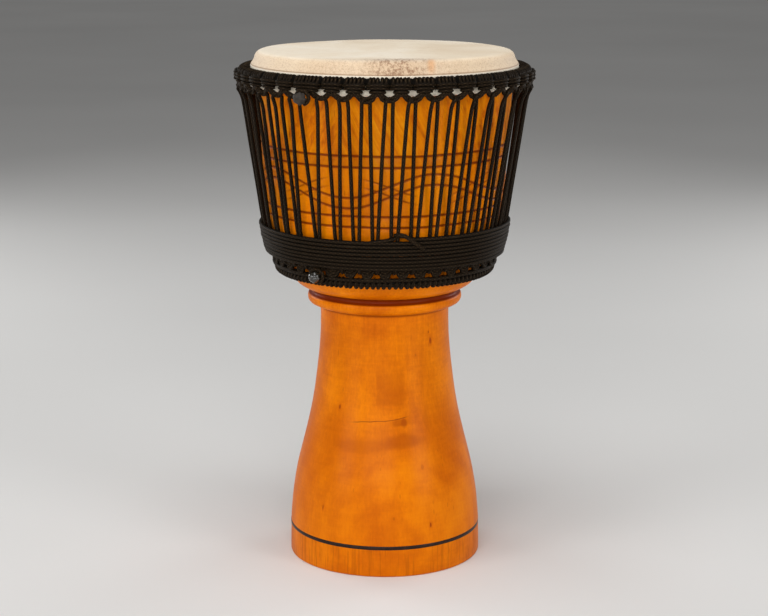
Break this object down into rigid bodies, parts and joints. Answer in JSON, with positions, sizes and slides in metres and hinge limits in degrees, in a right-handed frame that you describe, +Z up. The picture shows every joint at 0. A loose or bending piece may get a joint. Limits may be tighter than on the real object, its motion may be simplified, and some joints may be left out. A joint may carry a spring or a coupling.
{
  "type": "rope-tuned goblet drum",
  "caption": "Rope-tuned goblet hand drum: a carved wooden shell open at the foot, with a skin head that a crown of looped rope laces down to a ring under the bowl.",
  "frame": {"origin": "centre of the foot's underside, on the drum's axis", "axes": "+Z up along the drum's axis towards the playing head, -Y towards the front"},
  "size_m": [0.3716, 0.3716, 0.64],
  "materials": {
    "lacquered_wood": "amber gloss lacquer over carved hardwood with visible grain",
    "dark_inlay": "dark stained, under the same lacquer",
    "goat_skin": "bare hide, pale and mottled, matt",
    "ring_steel": "plain bent rod, hidden by rope",
    "black_rope": "black braided rope with a low sheen",
    "melted_rope": "rope end melted into a smooth glossy ball"
  },
  "bodies": {
    "root": {"shell": "lacquered_wood", "foot_inlay_band": "dark_inlay", "drumhead": "goat_skin", "bottom_ring": "ring_steel", "lower_cradle_rope": "black_rope", "tuning_rope": "black_rope", "rope_winding": "black_rope", "winding_tail": "black_rope", "lower_cradle_knot": "melted_rope"},
    "crown": {"crown_ring": "ring_steel", "flesh_hoop": "goat_skin", "upper_cradle_rope": "black_rope", "upper_cradle_knot": "melted_rope"}
  },
  "joints": [
    {"name": "crown_tension", "type": "slide", "parent": "root", "child": "crown", "axis": [0, 0, 1], "range_m": [-0.008, 0.004], "deforming": ["tuning_rope"]}
  ]
}
